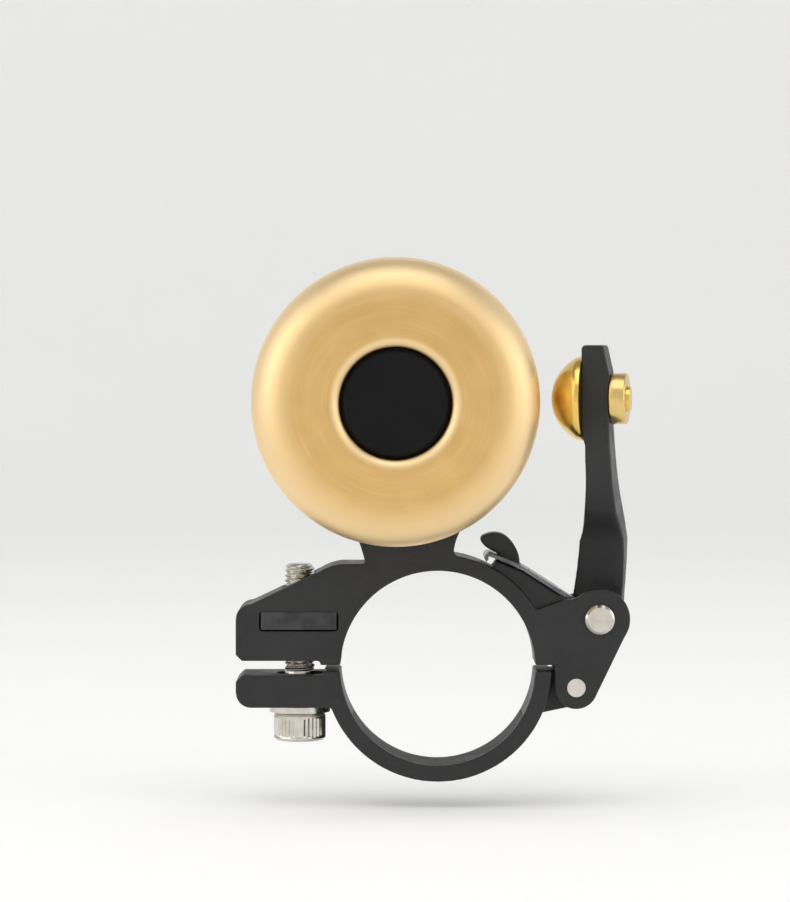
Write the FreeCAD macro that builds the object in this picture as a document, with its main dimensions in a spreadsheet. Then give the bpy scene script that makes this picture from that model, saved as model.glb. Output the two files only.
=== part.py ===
import FreeCAD, Part
import os
import re
import Sketcher

# Bicycle bell on a hinged handlebar clamp.
# Millimetres. The clamp's bore runs along Y through the origin, the dome faces -Y and Z is up.

DIMENSIONS = {
    # handlebar clamp
    "bore_radius": 15.9,
    "ring_wall": 2.7,
    "clamp_width": 12.0,
    "ring_split": 1.0,
    "lug_split": 2.4,
    "lug_length": 14.4,
    "lug_drop": 1.55,
    "lug_slope": 25.5,
    "lug_round": 8.0,
    "tip_round": 2.5,
    "jaw_ear_thick": 5.3,
    # clamp screw, its nut plate and washer
    "screw_offset": 4.1,
    "screw_radius": 2.5,
    "screw_proud": 2.6,
    "screw_head_radius": 4.25,
    "screw_head_height": 4.6,
    "screw_key": 4.0,
    "screw_key_depth": 2.5,
    "hole_clearance": 0.4,
    "thread_clearance": 0.05,
    "clamp_washer_radius": 5.0,
    "clamp_washer_thick": 1.0,
    "seat_gap": 0.1,
    "nut_length": 12.4,
    "nut_height": 2.9,
    "nut_depth": 10.0,
    "nut_bottom": 6.3,
    "nut_gap": 0.2,
    # jaw hinge
    "hinge_offset": 4.0,
    "hinge_drop": 3.2,
    "hinge_pin_radius": 1.5,
    "hinge_ear_radius": 3.5,
    "running_clearance": 0.04,
    # grip pad in the jaw
    "grip_thick": 1.0,
    "grip_width": 9.0,
    "grip_angle": 60.0,
    # neck and post
    "neck_left": -12.4,
    "neck_right": 2.6,
    "neck_rise": 0.6,
    "neck_thick": 4.5,
    "neck_flare": 2.7,
    "spade_radius": 11.5,
    "post_radius": 5.2,
    "rib_thick": 3.0,
    # dome
    "bell_x": -6.9,
    "bell_gap": 1.4,
    "bell_radius": 23.5,
    "bell_depth": 18.5,
    "bell_wall": 1.4,
    "rim_gap": 1.5,
    "crown_slope": 6.0,
    "side_slope": 3.0,
    "shoulder_radius": 6.6,
    "recess_radius": 8.9,
    "recess_depth": 4.8,
    "lip_radius": 1.9,
    "lip_sweep": 60.0,
    # dome fastening
    "dome_hole_radius": 3.2,
    "sleeve_radius": 2.6,
    "flange_thick": 0.5,
    "flange_radius": 5.0,
    "dome_washer_radius": 7.4,
    "dome_washer_thick": 0.6,
    "dome_screw_radius": 2.0,
    "dome_head_radius": 3.6,
    "dome_head_height": 1.8,
    "dome_key_depth": 1.0,
    "insert_radius": 3.1,
    "insert_length": 8.0,
    # cap
    "cap_gap": 0.4,
    "cap_wall": 0.9,
    "cap_sink": 0.7,
    "cap_dish": 0.3,
    "cap_lift": 0.2,
    # hammer pivot
    "pivot_along": 17.93,
    "pivot_drop": 0.24,
    "pivot_pin_radius": 1.5,
    "pivot_ear_radius": 5.0,
    "ear_thick": 2.4,
    "side_clearance": 0.3,
    "hub_radius": 4.6,
    "bush_radius": 2.3,
    "bush_flange_radius": 3.2,
    "bush_flange_thick": 0.5,
    "pin_head_radius": 2.4,
    "pin_head_thick": 1.0,
    "clip_radius": 2.8,
    "clip_thick": 0.6,
    # hammer arm
    "arm_twist": 11.0,
    "arm_over": 8.6,
    "arm_depth": 6.5,
    "arm_reach": 16.5,
    "arm_thick": 4.46,
    "arm_foot": 1.8,
    "foot_inset": 0.6,
    # hammer head
    "head_rise": 0.6,
    "hammer_gap": 1.65,
    "head_radius": 6.75,
    "head_thick": 5.2,
    "head_rim": 0.75,
    "stem_radius": 2.0,
    "collar_radius": 4.1,
    "collar_length": 2.6,
    # leaf spring
    "leaf_slope": 32.6,
    "leaf_standoff": 2.6,
    "leaf_thick": 0.6,
    "leaf_width": 10.0,
    "leaf_tongue": 5.2,
    "leaf_gap": 0.3,
    "leaf_wall": 0.5,
    "curl_radius": 0.8,
    "curl_along": -2.6,
    "bend_along": 4.5,
    "bend_run": 5.4,
    "bend_drop": 0.615,
    "bend_radius": 24.0,
    "curl_drop": 1.0,
    "shelf_back": 1.51,
    "shelf_run": 4.35,
    "shelf_toe": 0.97,
    "claw_width": 4.0,
    "claw_right": 2.3,
    "claw_length": 7.4,
    "claw_height": 2.6,
    "claw_stem": 3.6,
    "shelf_width": 9.0,
}

document = FreeCAD.newDocument("bicycle_bell")
sheet = document.addObject("Spreadsheet::Sheet", "dims")
for row, (alias, size) in enumerate(DIMENSIONS.items(), start=1):
    sheet.set(f"A{row}", alias)
    sheet.set(f"B{row}", str(size))
    sheet.setAlias(f"B{row}", alias)
document.recompute()

sub_parts = []


def bound(text):
    """Point every size name in an expression at its cell of the sheet."""
    return re.sub(r"\b[a-z]+(_[a-z]+)+\b", lambda word: "dims." + word.group(0), text)


def value(text):
    return float(sheet.evalExpression(bound(text)))


def bind(item, prop, text):
    item.setExpression(prop, bound(text))


# Places that several pieces share, as expressions.
RING_RADIUS = "(bore_radius + ring_wall)"
LUG_REACH = f"({RING_RADIUS} + lug_length)"
LUG_TOP = f"({RING_RADIUS} - lug_drop)"
SCREW_X = f"(-{RING_RADIUS} - screw_offset)"
HINGE_X = f"({RING_RADIUS} + hinge_offset)"
HINGE_Z = "(-hinge_drop)"
NECK_WAIST = f"({RING_RADIUS} + neck_rise)"
BELL_Z = f"({RING_RADIUS} + bell_gap + bell_radius)"
LEAF_LINE = f"({RING_RADIUS} + leaf_standoff)"
PIVOT_LINE = f"({LEAF_LINE} - pivot_drop)"
PIVOT_X = f"(pivot_along * cos(leaf_slope) + {PIVOT_LINE} * sin(leaf_slope))"
PIVOT_Z = f"({PIVOT_LINE} * cos(leaf_slope) - pivot_along * sin(leaf_slope))"
HEAD_Z = f"({BELL_Z} + head_rise)"
ARM_TOP = f"({HEAD_Z} + arm_over)"
FRONT = "(clamp_width / 2)"
RIM = f"({FRONT} + rim_gap)"
CROWN = f"({RIM} + bell_depth)"
RECESS_FLOOR = f"({CROWN} - recess_depth)"
POST_TOP = f"({RECESS_FLOOR} - bell_wall - flange_thick)"
WASHER_BACK = f"({RECESS_FLOOR} + flange_thick)"
HEAD_BACK = f"({WASHER_BACK} + dome_washer_thick)"
CAP_FRONT = f"({CROWN} - cap_sink)"
EAR_INNER = f"({FRONT} - ear_thick)"
HUB_HALF = f"({EAR_INNER} - side_clearance)"
LUG_BOTTOM = "(lug_split / 2)"
JAW_EAR_TOP = "(-lug_split / 2)"
JAW_EAR_BOTTOM = f"({JAW_EAR_TOP} - jaw_ear_thick)"
WASHER_TOP = f"({JAW_EAR_BOTTOM} - seat_gap)"
SCREW_SEAT = f"({WASHER_TOP} - clamp_washer_thick - seat_gap)"
SCREW_HOLE = "(screw_radius + hole_clearance)"
ARM_SLOT_X = f"({PIVOT_X} - hub_radius - 2 * side_clearance)"
ARM_REAR = "(arm_reach - arm_depth)"
HEAD_DEPTH = "(arm_reach - arm_depth / 2)"
STRIKE_X = "(bell_x + bell_radius + hammer_gap)"
ARM_SEAT = (f"(({STRIKE_X} - {PIVOT_X} + {HEAD_DEPTH} * sin(arm_twist)) / cos(arm_twist)"
            " + head_thick)")
ARM_EDGE = f"({ARM_SEAT} + arm_thick)"
LEAF_END = "(pivot_along - bush_radius - leaf_wall - leaf_gap)"
SUPPORT = f"({LEAF_LINE} - leaf_thick / 2 - leaf_gap / 2)"
SHELF_END = f"({SUPPORT} * sin(leaf_slope) - shelf_back)"


def new_body(name, x="0", y="0", z="0", spin=None):
    """A sub-part whose own origin stands at x, y, z, turned by spin degrees about Z."""
    body = document.addObject("PartDesign::Body", name)
    body.Label = name
    if spin:
        body.Placement.Rotation = FreeCAD.Rotation(FreeCAD.Vector(0, 0, 1), value(spin))
        bind(body, "Placement.Rotation.Angle", spin)
    bind(body, "Placement.Base.x", x)
    bind(body, "Placement.Base.y", y)
    bind(body, "Placement.Base.z", z)
    sub_parts.append(body)
    return body


def origin_feature(body, role):
    return next(item for item in body.Origin.OriginFeatures if item.Role == role)


def new_sketch(body, role, lift="0", shift="0", lean=None, turn=None):
    """An empty sketch, lifted along its normal, leaned about its upright or turned in its plane."""
    sketch = body.newObject("Sketcher::SketchObject", "sketch")
    sketch.AttachmentSupport = [(origin_feature(body, role), "")]
    sketch.MapMode = "FlatFace"
    if lean or turn:
        axis = FreeCAD.Vector(0, 1, 0) if lean else FreeCAD.Vector(0, 0, 1)
        angle = lean or turn
        sketch.AttachmentOffset = FreeCAD.Placement(FreeCAD.Vector(), FreeCAD.Rotation(axis, value(angle)))
        bind(sketch, "AttachmentOffset.Rotation.Angle", angle)
    bind(sketch, "AttachmentOffset.Base.x", shift)
    bind(sketch, "AttachmentOffset.Base.z", lift)
    return sketch


def fix_point(sketch, edge, end, x, y):
    across = sketch.addConstraint(Sketcher.Constraint("DistanceX", -1, 1, edge, end, value(x)))
    bind(sketch, f"Constraints[{across}]", x)
    upward = sketch.addConstraint(Sketcher.Constraint("DistanceY", -1, 1, edge, end, value(y)))
    bind(sketch, f"Constraints[{upward}]", y)


def draw_circle(sketch, x, y, radius):
    centre = FreeCAD.Vector(value(x), value(y), 0)
    edge = sketch.addGeometry(Part.Circle(centre, FreeCAD.Vector(0, 0, 1), value(radius)), False)
    fix_point(sketch, edge, 3, x, y)
    size = sketch.addConstraint(Sketcher.Constraint("Radius", edge, value(radius)))
    bind(sketch, f"Constraints[{size}]", radius)


def draw_outline(sketch, corners):
    """A closed outline. A corner is (x, y), or (x, y, radius, side) where an arc leads on to the next one.

    The arc bulges to the left of the way from corner to corner when side is 1, to the right when it is -1.
    """
    count = len(corners)
    points = [FreeCAD.Vector(value(corner[0]), value(corner[1]), 0) for corner in corners]
    edges = []
    for index, corner in enumerate(corners):
        start, end = points[index], points[(index + 1) % count]
        if len(corner) == 2:
            edges.append((sketch.addGeometry(Part.LineSegment(start, end), False), 1, 2))
            continue
        radius, side = value(corner[2]), corner[3]
        half = (end - start).Length / 2
        rise = radius - (radius * radius - half * half) ** 0.5
        left = FreeCAD.Vector(start.y - end.y, end.x - start.x, 0).normalize()
        middle = (start + end) * 0.5 + left * (side * rise)
        if side < 0:
            edges.append((sketch.addGeometry(Part.Arc(start, middle, end), False), 1, 2))
        else:
            edges.append((sketch.addGeometry(Part.Arc(end, middle, start), False), 2, 1))
    for index, corner in enumerate(corners):
        edge, start, end = edges[index]
        following = edges[(index + 1) % count]
        sketch.addConstraint(Sketcher.Constraint("Coincident", edge, end, following[0], following[1]))
        fix_point(sketch, edge, start, corner[0], corner[1])
        if len(corner) == 4:
            size = sketch.addConstraint(Sketcher.Constraint("Radius", edge, value(corner[2])))
            bind(sketch, f"Constraints[{size}]", corner[2])


def pad(body, sketch, length, middle=False):
    feature = body.newObject("PartDesign::Pad", "pad")
    feature.Profile = sketch
    feature.Midplane = middle
    bind(feature, "Length", length)
    document.recompute()
    return feature


def pocket(body, sketch, length, middle=False, backwards=False):
    """A cut, which must take something away."""
    before = body.Shape.Volume
    feature = body.newObject("PartDesign::Pocket", "pocket")
    feature.Profile = sketch
    feature.Midplane = middle
    feature.Reversed = backwards
    bind(feature, "Length", length)
    document.recompute()
    if body.Shape.Volume > before - 1e-6:
        raise RuntimeError(f"a pocket of {body.Label} cuts nothing")
    return feature


def revolve(body, sketch, role):
    feature = body.newObject("PartDesign::Revolution", "revolution")
    feature.Profile = sketch
    feature.ReferenceAxis = (origin_feature(body, role), [""])
    feature.Angle = 360
    document.recompute()
    return feature


def turned(name, corners, role="Y_Axis", **place):
    """A turned piece: its outline is (along the axis, radius)."""
    body = new_body(name, **place)
    plane = "YZ_Plane" if role == "Y_Axis" else "XY_Plane"
    sketch = new_sketch(body, plane)
    draw_outline(sketch, corners)
    revolve(body, sketch, role)
    return body


def tube_outline(start, end, inner, outer):
    return [(start, inner), (end, inner), (end, outer), (start, outer)]


BELL = {"x": "bell_x", "z": BELL_Z}
PIVOT = {"x": PIVOT_X, "z": PIVOT_Z}


def forward(depth):
    """The local Y of something that far in front of the clamp's middle plane."""
    return f"-({depth})"


# ---------------------------------------------------------------- bracket

def lug_height(x):
    """Height of the lug's sloping top at x."""
    return f"({LUG_TOP} - lug_round * 0.14 + ({x} + {RING_RADIUS} + 0.5) * tan(lug_slope))"


def support_height(x):
    """Height at x of the slope that the leaf spring lies along."""
    return f"(({SUPPORT} - ({x}) * sin(leaf_slope)) / cos(leaf_slope))"


def ring_height(x):
    return f"sqrt({RING_RADIUS} ^ 2 - ({x}) ^ 2)"


def build_bracket():
    body = new_body("bracket_body")

    clamp = new_sketch(body, "XZ_Plane")
    tip_top = lug_height(f"tip_round - {LUG_REACH}")
    draw_outline(clamp, [
        ("-bore_radius + 1", "ring_split / 2"),
        (f"sqrt({RING_RADIUS} ^ 2 - ring_split ^ 2 / 4)", "ring_split / 2", RING_RADIUS, -1),
        ("neck_right - 5", ring_height("neck_right - 5")),
        ("neck_left + 1", LUG_TOP),
        (f"2.8 - {RING_RADIUS}", LUG_TOP, "lug_round", -1),
        (f"-{RING_RADIUS} - 0.5", lug_height(f"-{RING_RADIUS} - 0.5")),
        (f"tip_round - {LUG_REACH}", tip_top, "tip_round", -1),
        (f"-{LUG_REACH}", f"{tip_top} - tip_round"),
        (f"-{LUG_REACH}", f"{LUG_BOTTOM} + 1"),
        (f"1 - {LUG_REACH}", LUG_BOTTOM),
        (f"-{RING_RADIUS} - 0.6", LUG_BOTTOM),
        (f"-{RING_RADIUS} - 0.6", "ring_split / 2"),
    ])
    pad(body, clamp, "clamp_width", middle=True)

    # The shelf behind the ring's shoulder, whose slope carries the leaf spring.
    shelf = new_sketch(body, "XZ_Plane")
    shelf_start = f"({RING_RADIUS} - 2)"
    shelf_bend = f"({SHELF_END} + shelf_run)"
    shelf_foot = f"({SHELF_END} - shelf_toe)"
    draw_outline(shelf, [
        ("bore_radius - 1", "ring_split / 2"),
        (ARM_SLOT_X, "ring_split / 2"),
        (ARM_SLOT_X, support_height(ARM_SLOT_X)),
        (shelf_start, support_height(shelf_start)),
        (shelf_bend, support_height(shelf_bend)),
        (SHELF_END, f"{support_height(SHELF_END)} - curl_drop"),
        (shelf_foot, f"{ring_height(shelf_foot)} - ring_wall / 4"),
    ])
    pad(body, shelf, "shelf_width", middle=True)

    neck = new_sketch(body, "XZ_Plane", lift=f"{FRONT} - neck_thick")
    draw_outline(neck, [
        ("neck_left + 0.6", "14"),
        ("neck_right + 0.5", "14"),
        ("neck_right + 0.5", ring_height("neck_right + 0.5"), "1.2", 1),
        ("neck_right", NECK_WAIST, "9", 1),
        ("neck_right + neck_flare", f"{NECK_WAIST} + 2 * neck_flare"),
        ("bell_x + spade_radius", f"{BELL_Z} - spade_radius * 0.6"),
        ("bell_x + spade_radius", BELL_Z, "spade_radius", -1),
        ("bell_x", f"{BELL_Z} + spade_radius", "spade_radius", -1),
        ("bell_x - spade_radius", BELL_Z),
        ("bell_x - spade_radius", f"{BELL_Z} - spade_radius * 0.6"),
        ("neck_left - 1.4 * neck_flare", f"{NECK_WAIST} + 2 * neck_flare", "9", 1),
        ("neck_left", NECK_WAIST, "12", 1),
    ])
    pad(body, neck, "neck_thick")

    post = new_sketch(body, "XZ_Plane", lift=FRONT)
    draw_circle(post, "bell_x", BELL_Z, "post_radius")
    pad(body, post, f"{POST_TOP} - {FRONT}")

    rib = new_sketch(body, "YZ_Plane", lift="bell_x + 2")
    draw_outline(rib, [
        (f"neck_thick - {FRONT} - 0.5", "16"),
        (FRONT, "16"),
        (FRONT, "17.4"),
        (f"neck_thick - {FRONT} - 0.5", f"{BELL_Z} - spade_radius"),
    ])
    pad(body, rib, "rib_thick", middle=True)

    # The claw is drawn along the leaf spring: its stem passes through the leaf, its nose holds the curl.
    claw = new_sketch(body, "XZ_Plane", turn="-leaf_slope")
    leaf_top = f"({LEAF_LINE} + leaf_thick / 2)"
    claw_tip = "(claw_right - claw_length)"
    draw_outline(claw, [
        ("claw_right - claw_stem", "bore_radius + 1"),
        ("claw_right", "bore_radius + 1"),
        ("claw_right", leaf_top, "6", -1),
        ("claw_right - 4.4", f"{leaf_top} + claw_height", "3.4", -1),
        (claw_tip, f"{leaf_top} + 0.9", "0.8", -1),
        (claw_tip, f"{leaf_top} - 0.4"),
        (f"{claw_tip} + 0.9", f"{leaf_top} - 0.7"),
        (f"{claw_tip} + 2", f"{leaf_top} - 0.75"),
        ("claw_right - claw_stem", f"{leaf_top} - 0.55"),
    ])
    pad(body, claw, "claw_width", middle=True)

    for lift in (EAR_INNER, f"-{FRONT}"):
        web = new_sketch(body, "XZ_Plane", lift=lift)
        draw_outline(web, [
            ("bore_radius", "ring_split / 2"),
            ("bore_radius", f"{PIVOT_Z} + 1.5"),
            (f"{ARM_SLOT_X} - 1.7", f"{PIVOT_Z} + 2.8"),
            (f"{PIVOT_X} - pivot_ear_radius * 0.707", f"{PIVOT_Z} + pivot_ear_radius * 0.707"),
            (f"{PIVOT_X} + pivot_ear_radius * 0.96", f"{PIVOT_Z} - pivot_ear_radius * 0.28"),
            (f"{HINGE_X} + hinge_ear_radius * 0.866", f"{HINGE_Z} - hinge_ear_radius * 0.5"),
            (f"{HINGE_X} - hinge_ear_radius * 0.5", f"{HINGE_Z} - hinge_ear_radius * 0.866"),
            (f"{HINGE_X} - hinge_ear_radius", HINGE_Z),
            (f"{HINGE_X} - hinge_ear_radius", "ring_split / 2"),
        ])
        pad(body, web, "ear_thick")
        pivot_ear = new_sketch(body, "XZ_Plane", lift=lift)
        draw_circle(pivot_ear, PIVOT_X, PIVOT_Z, "pivot_ear_radius")
        pad(body, pivot_ear, "ear_thick")
        hinge_ear = new_sketch(body, "XZ_Plane", lift=lift)
        draw_circle(hinge_ear, HINGE_X, HINGE_Z, "hinge_ear_radius")
        pad(body, hinge_ear, "ear_thick")

    bore = new_sketch(body, "XZ_Plane")
    draw_circle(bore, "0", "0", "bore_radius")
    pocket(body, bore, "3 * clamp_width", middle=True)

    nut_pocket = new_sketch(body, "XZ_Plane", lift=FRONT)
    draw_outline(nut_pocket, [
        (f"{SCREW_X} - nut_length / 2 - nut_gap", "nut_bottom - nut_gap"),
        (f"{SCREW_X} + nut_length / 2 + nut_gap", "nut_bottom - nut_gap"),
        (f"{SCREW_X} + nut_length / 2 + nut_gap", "nut_bottom + nut_height"),
        (f"{SCREW_X} - nut_length / 2 - nut_gap", "nut_bottom + nut_height"),
    ])
    pocket(body, nut_pocket, "nut_depth")

    screw_hole = new_sketch(body, "XY_Plane")
    draw_circle(screw_hole, SCREW_X, "0", SCREW_HOLE)
    pocket(body, screw_hole, "60", middle=True)

    pivot_hole = new_sketch(body, "XZ_Plane")
    draw_circle(pivot_hole, PIVOT_X, PIVOT_Z, "pivot_pin_radius")
    pocket(body, pivot_hole, "2 * clamp_width", middle=True)
    hinge_hole = new_sketch(body, "XZ_Plane")
    draw_circle(hinge_hole, HINGE_X, HINGE_Z, "hinge_pin_radius")
    pocket(body, hinge_hole, "2 * clamp_width", middle=True)

    insert_hole = new_sketch(body, "XZ_Plane", lift=POST_TOP)
    draw_circle(insert_hole, "bell_x", BELL_Z, "insert_radius")
    pocket(body, insert_hole, "insert_length")
    screw_room = new_sketch(body, "XZ_Plane", lift=POST_TOP)
    draw_circle(screw_room, "bell_x", BELL_Z, "dome_screw_radius + 0.2")
    pocket(body, screw_room, "insert_length + 3")


def build_nut_plate():
    body = new_body("nut_plate", x=SCREW_X, z="nut_bottom")
    plate = new_sketch(body, "XZ_Plane", lift=FRONT)
    draw_outline(plate, [
        ("-nut_length / 2", "0"),
        ("nut_length / 2", "0"),
        ("nut_length / 2", "nut_height"),
        ("-nut_length / 2", "nut_height"),
    ])
    # The plate runs backwards from the clamp's front face.
    feature = pad(body, plate, "nut_depth - nut_gap")
    feature.Reversed = True
    document.recompute()
    thread = new_sketch(body, "XY_Plane")
    draw_circle(thread, "0", "0", "screw_radius + thread_clearance")
    pocket(body, thread, "4 * nut_height", middle=True)


# ---------------------------------------------------------------- dome and its fastening

def build_dome():
    # The shoulder is an arc that runs tangent from the sloping crown into the drafted side.
    crown_start = "(recess_radius + lip_radius * sin(lip_sweep))"
    arc_across = "(shoulder_radius * (cos(side_slope) - sin(crown_slope)))"
    arc_along = "(shoulder_radius * (cos(crown_slope) - sin(side_slope)))"
    crown_drop = "tan(crown_slope)"
    # Radius where the shoulder starts, from the rim radius back along side and arc.
    start = (f"((bell_radius - (bell_depth - {arc_along} + {crown_start} * {crown_drop}) * tan(side_slope)"
             f" - {arc_across}) / (1 - {crown_drop} * tan(side_slope)))")
    start_y = f"({CROWN} - ({start} - {crown_start}) * {crown_drop})"
    end = f"({start} + {arc_across})"
    end_y = f"({start_y} - {arc_along})"
    inner_arc = "(shoulder_radius - bell_wall)"
    inner_start = f"({start} - bell_wall * sin(crown_slope))"
    inner_start_y = f"({start_y} - bell_wall * cos(crown_slope))"
    inner_end = f"({end} - bell_wall * cos(side_slope))"
    inner_end_y = f"({end_y} - bell_wall * sin(side_slope))"
    inner_rim = "(bell_radius - bell_wall / cos(side_slope))"
    floor_back = f"({RECESS_FLOOR} - bell_wall)"
    inner_wall = "(recess_radius + bell_wall)"
    inner_crown_y = f"({inner_start_y} + ({inner_start} - {inner_wall} - 0.5) * {crown_drop})"
    turned("bell_dome", [
        (forward(RECESS_FLOOR), "dome_hole_radius"),
        (forward(RECESS_FLOOR), "recess_radius"),
        (forward(f"({CROWN} - lip_radius * (1 - cos(lip_sweep)))"), "recess_radius", "lip_radius", 1),
        (forward(CROWN), crown_start),
        (forward(start_y), start, "shoulder_radius", 1),
        (forward(end_y), end),
        (forward(RIM), "bell_radius"),
        (forward(RIM), inner_rim),
        (forward(inner_end_y), inner_end, inner_arc, -1),
        (forward(inner_start_y), inner_start),
        (forward(inner_crown_y), f"{inner_wall} + 0.5"),
        (forward(f"({inner_crown_y} - 0.5)"), inner_wall),
        (forward(floor_back), inner_wall),
        (forward(floor_back), "dome_hole_radius"),
    ], **BELL)


def build_dome_fastening():
    turned("post_insert", tube_outline(forward(f"({POST_TOP} - insert_length)"), forward(POST_TOP),
                                       "dome_screw_radius", "insert_radius"), **BELL)
    turned("dome_sleeve", tube_outline(forward(POST_TOP), forward(WASHER_BACK),
                                       "dome_screw_radius", "sleeve_radius"), **BELL)
    floor_back = f"({RECESS_FLOOR} - bell_wall)"
    turned("dome_grommet", [
        (forward(POST_TOP), "sleeve_radius"),
        (forward(WASHER_BACK), "sleeve_radius"),
        (forward(WASHER_BACK), "flange_radius"),
        (forward(RECESS_FLOOR), "flange_radius"),
        (forward(RECESS_FLOOR), "dome_hole_radius"),
        (forward(floor_back), "dome_hole_radius"),
        (forward(floor_back), "flange_radius"),
        (forward(POST_TOP), "flange_radius"),
    ], **BELL)
    turned("dome_washer", tube_outline(forward(WASHER_BACK), forward(HEAD_BACK),
                                       "dome_screw_radius", "dome_washer_radius"), **BELL)
    screw = turned("dome_screw", [
        (forward(f"({POST_TOP} - insert_length - 1)"), "0"),
        (forward(f"({POST_TOP} - insert_length - 1)"), "dome_screw_radius"),
        (forward(HEAD_BACK), "dome_screw_radius"),
        (forward(HEAD_BACK), "dome_head_radius"),
        (forward(f"({HEAD_BACK} + dome_head_height * 0.6)"), "dome_head_radius"),
        (forward(f"({HEAD_BACK} + dome_head_height)"), "dome_head_radius * 0.7"),
        (forward(f"({HEAD_BACK} + dome_head_height)"), "0"),
    ], **BELL)
    cross = new_sketch(screw, "XZ_Plane", lift=f"{HEAD_BACK} + dome_head_height")
    long_half, short_half = "dome_head_radius * 0.55", "dome_head_radius * 0.12"
    arms = [(1, 1), (-1, 1), (-1, -1), (1, -1)]
    corners = []
    for across, upward in arms:
        wide = (f"{across} * {long_half}", f"{upward} * {short_half}")
        inner = (f"{across} * {short_half}", f"{upward} * {short_half}")
        tall = (f"{across} * {short_half}", f"{upward} * {long_half}")
        corners += [wide, inner, tall] if across * upward > 0 else [tall, inner, wide]
    draw_outline(cross, corners)
    pocket(screw, cross, "dome_key_depth")
    turned("dome_cap", [
        (forward(f"({CAP_FRONT} - cap_dish)"), "0"),
        (forward(CAP_FRONT), "recess_radius - cap_gap - 0.5"),
        (forward(f"({CAP_FRONT} - 0.5)"), "recess_radius - cap_gap"),
        (forward(f"({RECESS_FLOOR} + cap_lift)"), "recess_radius - cap_gap"),
        (forward(f"({RECESS_FLOOR} + cap_lift)"), "dome_washer_radius"),
        (forward(f"({CAP_FRONT} - cap_wall)"), "dome_washer_radius"),
        (forward(f"({CAP_FRONT} - cap_wall - cap_dish)"), "0"),
    ], **BELL)


# ---------------------------------------------------------------- leaf spring

def build_leaf():
    body = new_body("leaf_spring")
    strip = new_sketch(body, "XZ_Plane", turn="-leaf_slope")
    top, bottom = f"{LEAF_LINE} + leaf_thick / 2", f"{LEAF_LINE} - leaf_thick / 2"
    inner_curl = "(curl_radius - leaf_thick)"
    curl_top = f"({top} - curl_drop)"
    draw_outline(strip, [
        (LEAF_END, top),
        ("bend_along", top, "bend_radius", -1),
        ("bend_along - bend_run", f"{top} - bend_drop"),
        ("curl_along", curl_top, "curl_radius", -1),
        ("curl_along - curl_radius", f"{curl_top} - curl_radius", "curl_radius", -1),
        ("curl_along", f"{curl_top} - 2 * curl_radius"),
        ("curl_along", f"{curl_top} - 2 * curl_radius + leaf_thick", inner_curl, 1),
        (f"curl_along - {inner_curl}", f"{curl_top} - curl_radius", inner_curl, 1),
        ("curl_along", f"{bottom} - curl_drop"),
        ("bend_along - bend_run", f"{bottom} - bend_drop", "bend_radius", 1),
        ("bend_along", bottom),
        (LEAF_END, bottom),
    ])
    pad(body, strip, "leaf_width", middle=True)
    window = new_sketch(body, "XZ_Plane", turn="-leaf_slope")
    draw_outline(window, [
        ("claw_right - claw_stem - leaf_gap", "bore_radius"),
        ("claw_right + leaf_gap", "bore_radius"),
        ("claw_right + leaf_gap", f"{LEAF_LINE} + leaf_thick"),
        ("claw_right - claw_stem - leaf_gap", f"{LEAF_LINE} + leaf_thick"),
    ])
    pocket(body, window, "claw_width + 2 * leaf_gap", middle=True)
    shoulder = f"{ARM_SLOT_X} - 1.2"
    for side in (-1, 1):
        relief = new_sketch(body, "XY_Plane")
        draw_outline(relief, [
            (shoulder, f"{side} * leaf_tongue / 2"),
            (PIVOT_X, f"{side} * leaf_tongue / 2"),
            (PIVOT_X, f"{side} * leaf_width"),
            (shoulder, f"{side} * leaf_width"),
        ])
        pocket(body, relief, "60", middle=True)


# ---------------------------------------------------------------- hammer

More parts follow.
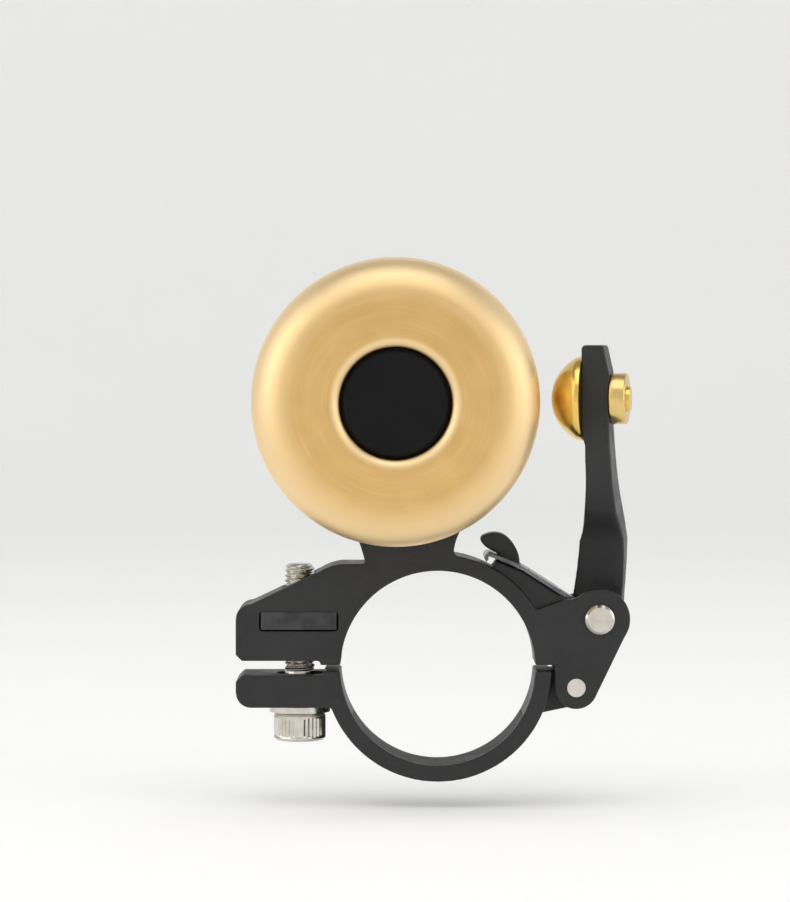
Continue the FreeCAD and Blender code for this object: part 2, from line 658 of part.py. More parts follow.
def build_arm():
    body = new_body("hammer_arm")
    blade = new_sketch(body, "XZ_Plane", shift=PIVOT_X, lean="-arm_twist")
    seat_bottom = f"({HEAD_Z} - collar_radius)"
    draw_outline(blade, [
        (ARM_SEAT, f"{ARM_TOP} - 0.4"),
        (f"{ARM_SEAT} + 0.4", ARM_TOP),
        (f"{ARM_EDGE} - 1", ARM_TOP),
        (ARM_EDGE, f"{HEAD_Z} + collar_radius"),
        (ARM_EDGE, seat_bottom),
        (f"{ARM_EDGE} + 0.6", f"{PIVOT_Z} + 18"),
        ("hub_radius + 0.3", f"{PIVOT_Z} + 13"),
        ("hub_radius - foot_inset", PIVOT_Z),
        ("foot_inset - hub_radius", PIVOT_Z),
        ("foot_inset - hub_radius", f"{PIVOT_Z} + 3"),
        (f"{ARM_SEAT} - 1.9", f"{PIVOT_Z} + 12.7", "30", -1),
        (f"{ARM_SEAT} + 0.6", f"{HEAD_Z} - head_radius - 5.4"),
        (f"{ARM_SEAT} + 0.6", f"{HEAD_Z} - head_radius - 0.8"),
        (ARM_SEAT, f"{HEAD_Z} - head_radius + 1.6"),
    ])
    pad(body, blade, "3 * (arm_reach + arm_depth)", middle=True)

    # The sweep in side view: two arcs of an S carry the blade forward from its foot to the head.
    frame = new_sketch(body, "YZ_Plane", shift="0", lift=PIVOT_X, lean="-arm_twist")
    front_rise, rear_rise = "12", "13"
    front_step, rear_step = "((arm_reach - arm_foot) / 2)", f"(({ARM_REAR} + arm_foot) / 2)"
    front_arc = f"(({front_step} ^ 2 + {front_rise} ^ 2) / (2 * {front_step}))"
    rear_arc = f"(({rear_step} ^ 2 + {rear_rise} ^ 2) / (2 * {rear_step}))"
    front_base, rear_base = f"({PIVOT_Z} + 4.2)", f"({PIVOT_Z} + 6.4)"
    draw_outline(frame, [
        ("arm_foot", f"{PIVOT_Z} - 1"),
        ("arm_foot", rear_base, rear_arc, -1),
        (f"arm_foot - {rear_step}", f"{rear_base} + {rear_rise}", rear_arc, 1),
        (f"-{ARM_REAR}", f"{rear_base} + 2 * {rear_rise}"),
        (f"-{ARM_REAR}", f"{ARM_TOP} + 1"),
        ("-arm_reach", f"{ARM_TOP} + 1"),
        ("-arm_reach", f"{front_base} + 2 * {front_rise}", front_arc, -1),
        (f"-arm_foot - {front_step}", f"{front_base} + {front_rise}", front_arc, 1),
        ("-arm_foot", front_base),
        ("-arm_foot", f"{PIVOT_Z} - 1"),
    ])
    draw_outline(frame, [
        ("-80", "-40"),
        ("80", "-40"),
        ("80", f"{ARM_TOP} + 40"),
        ("-80", f"{ARM_TOP} + 40"),
    ])
    pocket(body, frame, "160", middle=True)

    hub = new_sketch(body, "XZ_Plane")
    draw_circle(hub, PIVOT_X, PIVOT_Z, "hub_radius")
    pad(body, hub, f"2 * ({HUB_HALF} - bush_flange_thick)", middle=True)
    hub_bore = new_sketch(body, "XZ_Plane")
    draw_circle(hub_bore, PIVOT_X, PIVOT_Z, "bush_radius")
    pocket(body, hub_bore, "4 * clamp_width", middle=True)

    leaf_slot = new_sketch(body, "XZ_Plane", turn="-leaf_slope")
    draw_outline(leaf_slot, [
        ("pivot_along - hub_radius - 3", f"{LEAF_LINE} - leaf_thick / 2 - leaf_gap / 2"),
        (f"{LEAF_END} + leaf_gap", f"{LEAF_LINE} - leaf_thick / 2 - leaf_gap / 2"),
        (f"{LEAF_END} + leaf_gap", f"{LEAF_LINE} + leaf_thick / 2 + leaf_gap / 2"),
        ("pivot_along - hub_radius - 3", f"{LEAF_LINE} + leaf_thick / 2 + leaf_gap / 2"),
    ])
    pocket(body, leaf_slot, "2 * clamp_width", middle=True)

    stem_hole = new_sketch(body, "YZ_Plane", lift=PIVOT_X, lean="-arm_twist")
    draw_circle(stem_hole, "arm_depth / 2 - arm_reach", HEAD_Z, "stem_radius")
    pocket(body, stem_hole, "80", middle=True)


def build_head():
    place = {
        "x": f"{PIVOT_X} + {ARM_SEAT} * cos(arm_twist) - {HEAD_DEPTH} * sin(arm_twist)",
        "y": f"-{ARM_SEAT} * sin(arm_twist) - {HEAD_DEPTH} * cos(arm_twist)",
        "z": HEAD_Z,
        "spin": "-arm_twist",
    }
    crown = "(head_thick - head_rim)"
    crown_arc = f"((head_radius ^ 2 + {crown} ^ 2) / (2 * {crown}))"
    turned("hammer_head", [
        ("-head_thick", "0", crown_arc, 1),
        ("-head_rim", "head_radius"),
        ("0", "head_radius"),
        ("0", "stem_radius"),
        ("arm_thick + collar_length + 0.5", "stem_radius"),
        ("arm_thick + collar_length + 0.5", "0"),
    ], role="X_Axis", **place)
    turned("hammer_collar", tube_outline("arm_thick", "arm_thick + collar_length",
                                         "stem_radius", "collar_radius"), role="X_Axis", **place)


def build_pivot():
    flange = f"({HUB_HALF} - bush_flange_thick)"
    bore = "(pivot_pin_radius + running_clearance)"
    for name, side in (("arm_bush_front", "-1"), ("arm_bush_rear", "1")):
        turned(name, [
            (f"{side} * 0.3", bore),
            (f"{side} * {HUB_HALF}", bore),
            (f"{side} * {HUB_HALF}", "bush_flange_radius"),
            (f"{side} * {flange}", "bush_flange_radius"),
            (f"{side} * {flange}", "bush_radius"),
            (f"{side} * 0.3", "bush_radius"),
        ], **PIVOT)
    turned("arm_pivot_pin", [
        (f"-({FRONT} + pin_head_thick)", "0"),
        (f"-({FRONT} + pin_head_thick)", "pin_head_radius - 0.4"),
        (f"-({FRONT} + pin_head_thick - 0.4)", "pin_head_radius"),
        (f"-{FRONT}", "pin_head_radius"),
        (f"-{FRONT}", "pivot_pin_radius"),
        (f"{FRONT} + clip_thick + 0.6", "pivot_pin_radius"),
        (f"{FRONT} + clip_thick + 0.6", "0"),
    ], **PIVOT)
    clip = turned("pivot_clip", tube_outline(FRONT, f"{FRONT} + clip_thick",
                                             "pivot_pin_radius", "clip_radius"), **PIVOT)
    mouth = new_sketch(clip, "XZ_Plane", lift=f"-{FRONT} - 2 * clip_thick")
    draw_outline(mouth, [
        ("0", "-0.9"),
        ("2 * clip_radius", "-0.9"),
        ("2 * clip_radius", "0.9"),
        ("0", "0.9"),
    ])
    pocket(clip, mouth, "6 * clip_thick", middle=True)


# ---------------------------------------------------------------- jaw

def grip_outline(sketch):
    outer = "(bore_radius + grip_thick)"
    across, down = "sin(grip_angle)", "cos(grip_angle)"
    draw_outline(sketch, [
        (f"-bore_radius * {across}", f"-bore_radius * {down}", "bore_radius", -1),
        ("0", "-bore_radius", "bore_radius", -1),
        (f"bore_radius * {across}", f"-bore_radius * {down}"),
        (f"{outer} * {across}", f"-{outer} * {down}", outer, 1),
        ("0", f"-{outer}", outer, 1),
        (f"-{outer} * {across}", f"-{outer} * {down}"),
    ])


def build_jaw():
    body = new_body("lower_jaw")
    top = "(-ring_split / 2)"
    ring_end = f"sqrt({RING_RADIUS} ^ 2 - {top} ^ 2)"
    ring = new_sketch(body, "XZ_Plane")
    draw_outline(ring, [
        (f"-{ring_end}", top, RING_RADIUS, -1),
        ("0", f"-{RING_RADIUS}", RING_RADIUS, -1),
        (ring_end, top),
    ])
    pad(body, ring, "clamp_width", middle=True)
    ear = new_sketch(body, "XZ_Plane")
    draw_outline(ear, [
        ("-bore_radius - 0.6", JAW_EAR_TOP),
        (f"1 - {LUG_REACH}", JAW_EAR_TOP),
        (f"-{LUG_REACH}", f"{JAW_EAR_TOP} - 1"),
        (f"-{LUG_REACH}", f"{JAW_EAR_BOTTOM} + 2.5", "2.5", -1),
        (f"2.5 - {LUG_REACH}", JAW_EAR_BOTTOM),
        ("-bore_radius + 0.5", JAW_EAR_BOTTOM),
    ])
    pad(body, ear, "clamp_width", middle=True)
    knuckle_radius = "(hinge_ear_radius - 0.3)"
    arm = new_sketch(body, "XZ_Plane")
    draw_outline(arm, [
        ("bore_radius - 0.5", f"{top} - 0.4"),
        (HINGE_X, f"{HINGE_Z} + {knuckle_radius}"),
        (HINGE_X, f"{HINGE_Z} - {knuckle_radius}"),
        ("bore_radius - 0.5", f"{HINGE_Z} - {knuckle_radius} - 1.5"),
    ])
    pad(body, arm, f"2 * {HUB_HALF}", middle=True)
    knuckle = new_sketch(body, "XZ_Plane")
    draw_circle(knuckle, HINGE_X, HINGE_Z, knuckle_radius)
    pad(body, knuckle, f"2 * {HUB_HALF}", middle=True)
    bore = new_sketch(body, "XZ_Plane")
    draw_circle(bore, "0", "0", "bore_radius")
    pocket(body, bore, "3 * clamp_width", middle=True)
    seat = new_sketch(body, "XZ_Plane")
    grip_outline(seat)
    pocket(body, seat, "grip_width", middle=True)
    pin_hole = new_sketch(body, "XZ_Plane")
    draw_circle(pin_hole, HINGE_X, HINGE_Z, "hinge_pin_radius + running_clearance")
    pocket(body, pin_hole, "3 * clamp_width", middle=True)
    slot = new_sketch(body, "XY_Plane")
    draw_outline(slot, [
        (f"{SCREW_X} - 1", f"-{SCREW_HOLE}"),
        (f"{SCREW_X} + 1.6", f"-{SCREW_HOLE}", SCREW_HOLE, -1),
        (f"{SCREW_X} + 1.6 + {SCREW_HOLE}", "0", SCREW_HOLE, -1),
        (f"{SCREW_X} + 1.6", SCREW_HOLE),
        (f"{SCREW_X} - 1", SCREW_HOLE, SCREW_HOLE, -1),
        (f"{SCREW_X} - 1 - {SCREW_HOLE}", "0", SCREW_HOLE, -1),
    ])
    pocket(body, slot, "60", middle=True)

    grip = new_body("jaw_grip_pad")
    strip = new_sketch(grip, "XZ_Plane")
    grip_outline(strip)
    pad(grip, strip, "grip_width", middle=True)

    turned("jaw_hinge_pin", [
        (f"-{FRONT}", "0"),
        (f"-{FRONT}", "hinge_pin_radius"),
        (FRONT, "hinge_pin_radius"),
        (FRONT, "0"),
    ], x=HINGE_X, z=HINGE_Z)


# ---------------------------------------------------------------- clamp screw and washer

def build_screw():
    washer = new_body("clamp_washer", x=SCREW_X, z=WASHER_TOP)
    disc = new_sketch(washer, "XY_Plane", lift="-clamp_washer_thick")
    draw_circle(disc, "0", "0", "clamp_washer_radius")
    draw_circle(disc, "0", "0", "screw_radius + hole_clearance")
    pad(washer, disc, "clamp_washer_thick")

    body = new_body("clamp_screw", x=SCREW_X, z=SCREW_SEAT)
    head = new_sketch(body, "XY_Plane", lift="-screw_head_height")
    draw_circle(head, "0", "0", "screw_head_radius")
    pad(body, head, "screw_head_height")
    shank = new_sketch(body, "XY_Plane")
    draw_circle(shank, "0", "0", "screw_radius")
    screw_top = lug_height(SCREW_X) + " + screw_proud"
    pad(body, shank, f"{screw_top} - {SCREW_SEAT}")
    key = new_sketch(body, "XY_Plane", lift="-screw_head_height")
    corner = "screw_key / sqrt(3)"
    draw_outline(key, [(f"{corner} * cos({60 * step})", f"{corner} * sin({60 * step})") for step in range(6)])
    pocket(body, key, "screw_key_depth", backwards=True)


build_bracket()
build_nut_plate()
build_dome()
build_dome_fastening()
build_leaf()
build_arm()
build_head()
build_pivot()
build_jaw()
build_screw()
document.recompute()

for item in document.Objects:
    if "Invalid" in item.State or "Error" in item.State:
        raise RuntimeError(f"{item.Label} did not build")

os.makedirs("parts", exist_ok=True)
for body in sub_parts:
    shape = body.Shape
    if shape.isNull() or not shape.isValid() or not shape.Solids:
        raise RuntimeError(f"{body.Label} is not a sound solid")
    shape.exportStep(f"parts/{body.Label}.step")
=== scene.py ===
import math

import bmesh
import bpy
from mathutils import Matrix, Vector


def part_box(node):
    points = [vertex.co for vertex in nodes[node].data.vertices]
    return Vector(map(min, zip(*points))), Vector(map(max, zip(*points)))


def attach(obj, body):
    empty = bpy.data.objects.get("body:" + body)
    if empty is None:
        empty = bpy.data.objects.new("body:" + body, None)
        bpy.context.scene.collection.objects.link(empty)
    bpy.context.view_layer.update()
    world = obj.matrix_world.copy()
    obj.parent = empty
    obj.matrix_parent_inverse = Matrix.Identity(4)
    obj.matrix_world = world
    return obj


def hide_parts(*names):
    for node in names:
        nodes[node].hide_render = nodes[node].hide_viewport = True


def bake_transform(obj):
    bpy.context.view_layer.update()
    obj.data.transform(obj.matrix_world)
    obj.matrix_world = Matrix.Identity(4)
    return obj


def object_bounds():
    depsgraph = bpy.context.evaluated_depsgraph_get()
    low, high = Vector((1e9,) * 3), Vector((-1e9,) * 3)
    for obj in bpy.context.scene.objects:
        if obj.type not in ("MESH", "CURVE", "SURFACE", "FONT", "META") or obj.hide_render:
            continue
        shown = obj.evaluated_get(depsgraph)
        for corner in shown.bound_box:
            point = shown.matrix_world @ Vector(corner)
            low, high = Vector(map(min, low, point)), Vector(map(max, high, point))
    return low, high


# Bicycle bell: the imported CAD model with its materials, finer pieces for the moulded plastic,
# the screw thread and the leaf spring, and the studio round it. Metres, in the model's frame:
# the dome faces -Y and Z is up.

MM = 0.001

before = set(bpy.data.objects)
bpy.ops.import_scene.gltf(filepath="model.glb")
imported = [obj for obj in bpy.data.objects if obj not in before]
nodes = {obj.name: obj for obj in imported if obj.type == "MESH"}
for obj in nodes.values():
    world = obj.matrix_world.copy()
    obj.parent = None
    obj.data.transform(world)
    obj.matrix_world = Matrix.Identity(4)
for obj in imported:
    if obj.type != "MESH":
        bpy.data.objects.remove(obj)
cad_low, cad_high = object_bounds()

# Sizes that the CAD model also has, in millimetres.
LEAF_SLOPE = math.radians(32.6)
SCREW_PITCH = 0.8
SCREW_RADIUS = 2.5
SCREW_HEAD_HEIGHT = 4.6
KEY_ACROSS = 4.0
KEY_DEPTH = 2.5

# Sizes that only this scene has, in millimetres.
THREAD_START = -1.0
THREAD_DEPTH = 0.42
THREAD_STEP = 0.07
TURN_STEPS = 72
KNURLS = 36
KNURL_DEPTH = 0.22
KNURL_ROWS = 8
LEAF_CUTS = 36
MOULD_VOXEL = 0.2
MOULD_ROUNDS = 7
WELD_REACH = 0.001
FLOOR_ROOM = 4.5

# The dome's colour by distance from its axis, in millimetres, out to ZONE_SPAN. The shoulder and
# the lip are painted paler and the recess's wall darker, as the photograph's light shows them:
# this isn't wear on the metal.
ZONE_SPAN = 25.0
PAINTED_HIGHLIGHT_BRASS = (0.92, 0.7, 0.4)
PAINTED_HIGHLIGHT_SHARE = ((9.9, 0.8), (10.6, 0.0), (16.0, 0.0), (21.5, 1.0))
SHADED_BRASS = (0.05, 0.03, 0.014)
SHADED_SHARE = ((8.84, 1.0), (8.95, 0.0))


def middle(node):
    low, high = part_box(node)
    return (low + high) / 2


# ---------------------------------------------------------------------------- materials


class Nodes:
    """A material's node tree, with short calls for the nodes that the finishes share."""

    def __init__(self, name):
        self.material = bpy.data.materials.new(name)
        self.material.use_nodes = True
        self.tree = self.material.node_tree
        self.shader = next(n for n in self.tree.nodes if n.type == "BSDF_PRINCIPLED")
        self.place = self.add("ShaderNodeTexCoord").outputs["Object"]

    def add(self, kind, inputs=None, **settings):
        node = self.tree.nodes.new(kind)
        for key, setting in settings.items():
            setattr(node, key, setting)
        for key, source in (inputs or {}).items():
            self.put(node, key, source)
        return node

    def put(self, node, key, source):
        if isinstance(source, bpy.types.NodeSocket):
            self.tree.links.new(source, node.inputs[key])
        else:
            node.inputs[key].default_value = source

    def maths(self, operation, first, second=0.0):
        return self.add("ShaderNodeMath", {0: first, 1: second}, operation=operation).outputs[0]

    def noise(self, scale, detail=2.0, vector=None, roughness=0.5):
        inputs = {"Vector": vector or self.place, "Scale": scale, "Detail": detail,
                  "Roughness": roughness}
        return self.add("ShaderNodeTexNoise", inputs).outputs["Fac"]

    def remap(self, value, low, high, to_low, to_high):
        inputs = {"Value": value, "From Min": low, "From Max": high, "To Min": to_low,
                  "To Max": to_high}
        return self.add("ShaderNodeMapRange", inputs).outputs["Result"]

    def ramp(self, value, *stops):
        ramp = self.add("ShaderNodeValToRGB", {"Fac": value})
        points = ramp.color_ramp.elements
        while len(points) < len(stops):
            points.new(0.5)
        for point, (position, colour) in zip(points, stops):
            point.position = position
            point.color = (*colour, 1.0)
        return ramp.outputs["Color"]

    def bump(self, height, strength, distance, normal=None):
        inputs = {"Height": height, "Strength": strength, "Distance": distance}
        if normal:
            inputs["Normal"] = normal
        return self.add("ShaderNodeBump", inputs).outputs["Normal"]

    def round_coordinates(self, axis, centre):
        """Radius plus place along the axis, the radius, and the two places across the axis."""
        moved = self.add("ShaderNodeVectorMath", {0: self.place, 1: tuple(centre)},
                         operation="SUBTRACT").outputs[0]
        parts = self.add("ShaderNodeSeparateXYZ", {0: moved}).outputs
        along = parts[axis]
        one, two = [parts[i] for i in range(3) if i != axis]
        squares = self.maths("ADD", self.maths("MULTIPLY", one, one),
                             self.maths("MULTIPLY", two, two))
        radius = self.maths("SQRT", self.maths("MAXIMUM", squares, 1e-10))
        return self.maths("ADD", radius, along), radius, one, two

    def rings(self, axis, centre, fine, wander):
        """Turning or brushing marks round an axis, with no seam."""
        line, radius, one, two = self.round_coordinates(axis, centre)
        vector = self.add("ShaderNodeCombineXYZ", {
            0: self.maths("MULTIPLY", line, fine),
            1: self.maths("MULTIPLY", self.maths("DIVIDE", one, radius), wander),
            2: self.maths("MULTIPLY", self.maths("DIVIDE", two, radius), wander),
        }).outputs[0]
        return self.noise(1.0, 3.0, vector, 0.6)


def plastic(name, dark, light, rough_low, rough_high, grain=3200.0, strength=0.22, sheen=0.0,
            specular=0.5):
    """Moulded plastic: fine spark-eroded texture, slow colour variation, handling marks."""
    n = Nodes(name)
    broad = n.noise(90.0, 3.0)
    fine = n.noise(grain, 2.0)
    n.put(n.shader, "Base Color", n.ramp(n.maths("ADD", n.maths("MULTIPLY", broad, 0.7),
                                                 n.maths("MULTIPLY", fine, 0.3)),
                                         (0.3, dark), (0.7, light)))
    n.put(n.shader, "Roughness", n.remap(n.noise(260.0, 4.0), 0.3, 0.7, rough_low, rough_high))
    n.put(n.shader, "Normal", n.bump(fine, strength, 0.00004))
    n.shader.inputs["Specular IOR Level"].default_value = specular
    n.shader.inputs["Sheen Weight"].default_value = sheen
    return n.material


def turned_metal(name, axis, centre, colours, rough, fine=5200.0, wander=1.6, strength=0.1,
                 grain=0.0, zones=()):
    """Metal with fine rings from brushing or turning round an axis.

    Each zone is (colour in the marks' dark parts, colour in their light parts, shares): it is
    mixed in by the shares given at distances from the axis.
    """
    n = Nodes(name)
    marks = n.rings(axis, centre, fine, wander)
    bands = n.rings(axis, centre, fine / 9.0, wander * 0.6)
    both = n.maths("ADD", n.maths("MULTIPLY", marks, 0.6), n.maths("MULTIPLY", bands, 0.4))
    cloud = n.noise(160.0, 3.0)
    mixed = n.maths("ADD", n.maths("MULTIPLY", both, 0.65), n.maths("MULTIPLY", cloud, 0.35))
    colour = n.ramp(mixed, (0.32, colours[0]), (0.68, colours[1]))
    if zones:
        reach = n.remap(n.round_coordinates(axis, centre)[1], 0.0, ZONE_SPAN * MM, 0.0, 1.0)
    for low, high, shares in zones:
        other = n.ramp(mixed, (0.3, low), (0.7, high))
        share = n.ramp(reach, *((mm / ZONE_SPAN, (level,) * 3) for mm, level in shares))
        mix = n.add("ShaderNodeMix", {0: share, 6: colour, 7: other}, data_type="RGBA")
        colour = mix.outputs[2]
    n.put(n.shader, "Base Color", colour)
    n.put(n.shader, "Roughness", n.remap(both, 0.3, 0.7, *rough))
    normal = n.bump(marks, strength, 0.00002)
    if grain:
        normal = n.bump(n.noise(3400.0, 3.0), grain, 0.00003, normal)
    n.put(n.shader, "Normal", normal)
    n.shader.inputs["Metallic"].default_value = 1.0
    return n.material


def plain_metal(name, colours, rough, grain=2400.0, strength=0.12):
    """Plated or blackened steel: fine pitting and a faint mottle."""
    n = Nodes(name)
    fine = n.noise(grain, 3.0)
    cloud = n.noise(420.0, 4.0)
    n.put(n.shader, "Base Color", n.ramp(cloud, (0.35, colours[0]), (0.65, colours[1])))
    n.put(n.shader, "Roughness", n.remap(cloud, 0.3, 0.7, *rough))
    n.put(n.shader, "Normal", n.bump(fine, strength, 0.00002))
    n.shader.inputs["Metallic"].default_value = 1.0
    return n.material


def backdrop(name, colour):
    n = Nodes(name)
    n.put(n.shader, "Base Color", n.ramp(n.noise(8.0, 2.0), (0.4, colour),
                                         (0.6, tuple(c * 0.99 for c in colour))))
    n.shader.inputs["Roughness"].default_value = 0.9
    n.shader.inputs["Emission Color"].default_value = (1.0, 1.0, 1.0, 1.0)
    n.shader.inputs["Emission Strength"].default_value = 0.17
    return n.material


BLACK = plastic("satin_black_nylon", (0.014, 0.014, 0.0145), (0.026, 0.026, 0.0265), 0.36, 0.52,
                grain=2300.0, strength=0.5, specular=0.34)
CAP = plastic("matte_black_cap", (0.0035, 0.0035, 0.004), (0.006, 0.006, 0.0066), 0.36, 0.46,
              grain=4200.0, specular=0.13)
ACETAL = plastic("natural_acetal", (0.66, 0.65, 0.6), (0.74, 0.73, 0.69), 0.35, 0.45)
RUBBER = plastic("grip_rubber", (0.012, 0.012, 0.012), (0.02, 0.02, 0.02), 0.65, 0.85,
                 grain=2200.0, strength=0.4, sheen=0.1)
DOME = turned_metal("brushed_dome_brass", 1, middle("bell_dome"),
                    ((0.64, 0.41, 0.15), (0.8, 0.53, 0.22)), (0.4, 0.54), strength=0.22,
                    grain=0.3,
                    zones=((PAINTED_HIGHLIGHT_BRASS, tuple(c * 0.94 for c in PAINTED_HIGHLIGHT_BRASS), PAINTED_HIGHLIGHT_SHARE),
                           (SHADED_BRASS, SHADED_BRASS, SHADED_SHARE)))
HAMMER = turned_metal("polished_hammer_brass", 0, middle("hammer_head"),
                      ((0.76, 0.5, 0.12), (0.86, 0.6, 0.17)), (0.16, 0.28), strength=0.08)
COLLAR = turned_metal("turned_collar_brass", 0, middle("hammer_collar"),
                      ((0.7, 0.5, 0.18), (0.78, 0.58, 0.24)), (0.2, 0.32))
PLATED = plain_metal("nickel_plate", ((0.56, 0.52, 0.46), (0.68, 0.65, 0.6)), (0.16, 0.3))
BLACKENED = plain_metal("blackened_steel", ((0.05, 0.05, 0.052), (0.08, 0.08, 0.082)),
                        (0.34, 0.5))
SPRING = plain_metal("spring_steel", ((0.1, 0.1, 0.105), (0.2, 0.2, 0.21)), (0.2, 0.34))

FINISH = {
    "bracket_body": BLACK, "hammer_arm": BLACK, "lower_jaw": BLACK, "nut_plate": BLACKENED,
    "bell_dome": DOME, "dome_cap": CAP, "dome_screw": PLATED, "dome_washer": PLATED,
    "dome_grommet": RUBBER, "dome_sleeve": ACETAL, "post_insert": COLLAR,
    "leaf_spring": SPRING, "arm_pivot_pin": PLATED, "pivot_clip": PLATED,
    "jaw_hinge_pin": PLATED, "hammer_head": HAMMER, "hammer_collar": COLLAR,
    "arm_bush_front": ACETAL, "arm_bush_rear": ACETAL, "jaw_grip_pad": RUBBER,
    "clamp_washer": PLATED, "clamp_screw": PLATED,
}

# ---------------------------------------------------------------------------- CAD nodes

# The round on each node's sharp edges, in millimetres.
EDGE = {"bell_dome": 0.12, "hammer_head": 0.45, "hammer_collar": 0.3, "nut_plate": 0.12}


def soften_edges(piece, width):
    """Small rounds on a CAD node's sharp edges, as modifiers over its own mesh."""
    weld = piece.modifiers.new("join_faces", "WELD")
    weld.merge_threshold = WELD_REACH * MM
    bevel = piece.modifiers.new("edge_rounds", "BEVEL")
    bevel.width = width * MM
    bevel.segments = 3
    bevel.limit_method = "ANGLE"
    bevel.angle_limit = math.radians(32)
    bevel.use_clamp_overlap = True
    bevel.harden_normals = True


for name, piece in nodes.items():
    piece.data.materials.clear()
    piece.data.materials.append(FINISH[name])
    if name in EDGE:
        soften_edges(piece, EDGE[name])

# ---------------------------------------------------------------------------- new pieces


def new_piece(name, mesh, material):
    obj = bpy.data.objects.new(name, mesh)
    bpy.context.scene.collection.objects.link(obj)
    mesh.materials.append(material)
    return obj


def smooth_by_angle(obj, degrees):
    """Smooth shading with the edges sharper than this marked sharp."""
    obj.data.shade_smooth()
    obj.data.set_sharp_from_angle(angle=math.radians(degrees))


def lathe_grid(bm, rings, count, centre):
    """Joins rings of points round Z; a ring is (height, radius or radius by step), in mm."""
    rows = []
    for height, radius in rings:
        row = []
        for i in range(count):
            turn = 2 * math.pi * i / count
            r = (radius(i) if callable(radius) else radius) * MM
            point = Vector((r * math.cos(turn), r * math.sin(turn), height * MM))
            row.append(bm.verts.new(point + centre))
        rows.append(row)
    for one, two in zip(rows, rows[1:]):
        for i in range(count):
            j = (i + 1) % count
            bm.faces.new([one[i], one[j], two[j], two[i]])
    return rows


def cap_ring(bm, row, centre, flip):
    """Closes a ring with a fan of faces to one point."""
    middle_vert = bm.verts.new(centre)
    for i, vert in enumerate(row):
        after = row[(i + 1) % len(row)]
        bm.faces.new([after, vert, middle_vert] if flip else [vert, after, middle_vert])


def moulded(node, body):
    """A CAD node's shape with its edges rounded, as they come out of a mould."""
    mesh = nodes[node].data.copy()
    bm = bmesh.new()
    bm.from_mesh(mesh)
    bmesh.ops.remove_doubles(bm, verts=bm.verts, dist=WELD_REACH * MM)
    bm.to_mesh(mesh)
    bm.free()
    mesh.materials.clear()
    piece = new_piece(node + "_moulded", mesh, FINISH[node])
    skin = piece.modifiers.new("skin", "REMESH")
    skin.mode = "VOXEL"
    skin.voxel_size = MOULD_VOXEL * MM
    rounds = piece.modifiers.new("rounds", "SMOOTH")
    rounds.factor, rounds.iterations = 0.5, MOULD_ROUNDS
    shaped = piece.evaluated_get(bpy.context.evaluated_depsgraph_get())
    piece.data = bpy.data.meshes.new_from_object(shaped)
    piece.modifiers.clear()
    piece.data.shade_smooth()
    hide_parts(node)
    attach(piece, body)


def clamp_screw():
    """The clamp screw with a rolled thread, a knurled cap head and a hex socket."""
    low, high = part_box("clamp_screw")
    centre = Vector(((low.x + high.x) / 2, (low.y + high.y) / 2, 0.0))
    head_radius = (high.x - low.x) / 2 / MM
    bottom, top = low.z / MM, high.z / MM
    head_top = bottom + SCREW_HEAD_HEIGHT

    def knurled(i):
        wave = 0.5 - 0.5 * math.cos(2 * math.pi * i * KNURLS / TURN_STEPS)
        return head_radius - KNURL_DEPTH * wave

    def hexagon(across):
        def radius(i):
            in_side = math.radians(i * 360 / TURN_STEPS % 60)
            return across / 2 / math.cos(in_side - math.pi / 6)

        return radius

    def threaded(z):
        """The thread's radius at each step round the shank, full between the run-outs."""
        fade = min(1.0, max(0.0, (z - THREAD_START) / 1.2), max(0.0, (top - z) / 0.7 + 0.15))

        def radius(i):
            phase = (z / SCREW_PITCH - i / TURN_STEPS) % 1.0
            crest = abs(2 * phase - 1)
            rounded = min(1.0, max(0.0, (crest - 0.1) / 0.78))
            return SCREW_RADIUS - fade * THREAD_DEPTH * (1 - rounded)

        return radius

    rings = [(bottom + KEY_DEPTH, hexagon(KEY_ACROSS)), (bottom + 0.25, hexagon(KEY_ACROSS)),
             (bottom, hexagon(KEY_ACROSS + 0.4)), (bottom, head_radius - 0.6),
             (bottom + 0.12, head_radius - 0.25), (bottom + 0.45, head_radius - 0.02)]
    for k in range(KNURL_ROWS + 1):
        z = bottom + 0.6 + (head_top - bottom - 1.2) * k / KNURL_ROWS
        rings.append((z, knurled))
    rings += [(head_top - 0.45, head_radius - 0.02), (head_top - 0.1, head_radius - 0.2),
              (head_top, head_radius - 0.5), (head_top, SCREW_RADIUS + 0.35),
              (head_top + 0.3, SCREW_RADIUS)]
    z = head_top + 0.8
    while z < top - 0.5:
        rings.append((z, threaded(z)))
        z += THREAD_STEP if z > THREAD_START - 0.1 else 0.6
    rings += [(top - 0.45, threaded(top - 0.45)), (top - 0.2, SCREW_RADIUS - 0.45),
              (top, SCREW_RADIUS - 0.75)]
    bm = bmesh.new()
    grid = lathe_grid(bm, rings, TURN_STEPS, centre)
    cap_ring(bm, grid[0], centre + Vector((0, 0, (bottom + KEY_DEPTH + 0.3) * MM)), True)
    cap_ring(bm, grid[-1], centre + Vector((0, 0, top * MM)), False)
    bmesh.ops.recalc_face_normals(bm, faces=bm.faces)
    mesh = bpy.data.meshes.new("clamp_screw_threaded")
    bm.to_mesh(mesh)
    bm.free()
    screw = new_piece("clamp_screw_threaded", mesh, PLATED)
    smooth_by_angle(screw, 40)
    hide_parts("clamp_screw")
    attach(screw, "screw")


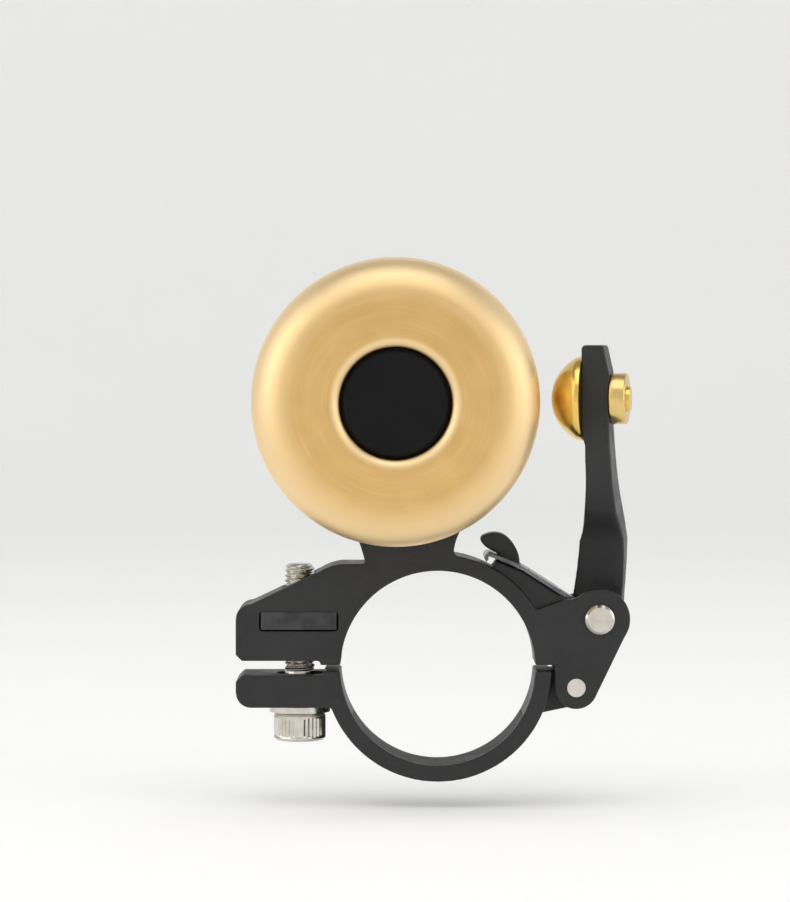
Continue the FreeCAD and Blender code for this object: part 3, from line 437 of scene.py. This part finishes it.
def leaf_spring():
    """The leaf spring between the claw and the hub, cut across its length into short sections."""
    mesh = nodes["leaf_spring"].data.copy()
    bm = bmesh.new()
    bm.from_mesh(mesh)
    bmesh.ops.remove_doubles(bm, verts=bm.verts, dist=WELD_REACH * MM)
    along = Vector((math.cos(LEAF_SLOPE), 0, -math.sin(LEAF_SLOPE)))
    reach = [v.co.dot(along) for v in bm.verts]
    first, last = min(reach), max(reach)
    for i in range(1, LEAF_CUTS):
        place = along * (first + (last - first) * i / LEAF_CUTS)
        bmesh.ops.bisect_plane(bm, geom=bm.verts[:] + bm.edges[:] + bm.faces[:], dist=1e-7,
                               plane_co=place, plane_no=along)
    bmesh.ops.recalc_face_normals(bm, faces=bm.faces)
    bm.to_mesh(mesh)
    bm.free()
    mesh.materials.clear()
    spring = new_piece("leaf_spring_strip", mesh, SPRING)
    smooth_by_angle(spring, 30)
    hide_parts("leaf_spring")
    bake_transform(spring)


for name, body in (("bracket_body", "bracket"), ("hammer_arm", "hammer"), ("lower_jaw", "jaw")):
    moulded(name, body)
clamp_screw()
leaf_spring()

# ---------------------------------------------------------------------------- studio

# Metres from here on, and watts for the lights.
FLOOR_SIZE = {"radius": 1.5, "height": 1.6, "fillet": 0.6}
LIGHT_AIM = (0, 0, 0.03)
LIGHTS = {
    "key_left": ((-0.8, -0.3, 0.4), 0.8, 0.8, 2.3),
    "fill_right": ((0.8, -0.3, 0.2), 0.8, 0.8, 2.0),
    "top": ((0.0, -0.3, 0.88), 0.9, 0.8, 3.2),
}
WORLD_STRENGTH = 0.36
CAMERA_PLACE = (-0.007, -0.556, 0.0519)
CAMERA_PITCH = math.radians(90 - 1.71)
CAMERA_LENS = 134.9


def area_light(name, place, width, height, power):
    """A soft rectangular light that points at the bell and doesn't show in the picture."""
    light = bpy.data.lights.new(name, "AREA")
    light.shape = "RECTANGLE"
    light.size, light.size_y = width, height
    light.energy = power
    obj = bpy.data.objects.new(name, light)
    obj.location = place
    obj.rotation_mode = "QUATERNION"
    obj.rotation_quaternion = (Vector(LIGHT_AIM) - Vector(place)).to_track_quat("-Z", "Y")
    obj.visible_camera = False
    bpy.context.scene.collection.objects.link(obj)


def studio_floor(level, radius, height, fillet, curve_steps=16, count=96):
    """A pale floor that curves up into a round wall, as one lathed surface."""
    profile = [(0.0, level), (radius * 0.3, level), (radius * 0.6, level)]
    for i in range(curve_steps + 1):
        a = math.pi / 2 * i / curve_steps
        across = radius - fillet + fillet * math.sin(a)
        profile.append((across, level + fillet * (1 - math.cos(a))))
    profile.append((radius, level + height))
    mesh = bpy.data.meshes.new("studio_floor")
    bm = bmesh.new()
    rows = []
    for r, z in profile:
        if r == 0.0:
            rows.append([bm.verts.new((0, 0, z))] * count)
        else:
            rows.append([bm.verts.new((r * math.cos(2 * math.pi * i / count),
                                       r * math.sin(2 * math.pi * i / count), z))
                         for i in range(count)])
    for inner, outer in zip(rows, rows[1:]):
        for i in range(count):
            j = (i + 1) % count
            corners = [inner[i], outer[i], outer[j], inner[j]]
            bm.faces.new(list(dict.fromkeys(corners)))
    bm.to_mesh(mesh)
    bm.free()
    obj = bpy.data.objects.new("studio_floor", mesh)
    bpy.context.scene.collection.objects.link(obj)
    mesh.materials.append(backdrop("pale_backdrop", (0.86, 0.86, 0.85)))
    mesh.shade_smooth()


# The floor leaves room for the jaw to open downwards.
studio_floor(cad_low.z - FLOOR_ROOM * MM, **FLOOR_SIZE)

world = bpy.data.worlds.new("studio")
world.use_nodes = True
background = next(n for n in world.node_tree.nodes if n.type == "BACKGROUND")
background.inputs["Color"].default_value = (1.0, 1.0, 1.0, 1.0)
background.inputs["Strength"].default_value = WORLD_STRENGTH
bpy.context.scene.world = world

for name, (place, width, height, power) in LIGHTS.items():
    area_light(name, place, width, height, power)

camera = bpy.data.cameras.new("camera")
camera.sensor_fit = "VERTICAL"
camera.sensor_height = 36.0
camera.lens = CAMERA_LENS
camera.clip_start, camera.clip_end = 0.02, 20.0
viewpoint = bpy.data.objects.new("camera", camera)
viewpoint.location = CAMERA_PLACE
viewpoint.rotation_euler = (CAMERA_PITCH, 0, 0)
bpy.context.scene.collection.objects.link(viewpoint)
bpy.context.scene.camera = viewpoint
bpy.context.scene.view_settings.view_transform = "Standard"
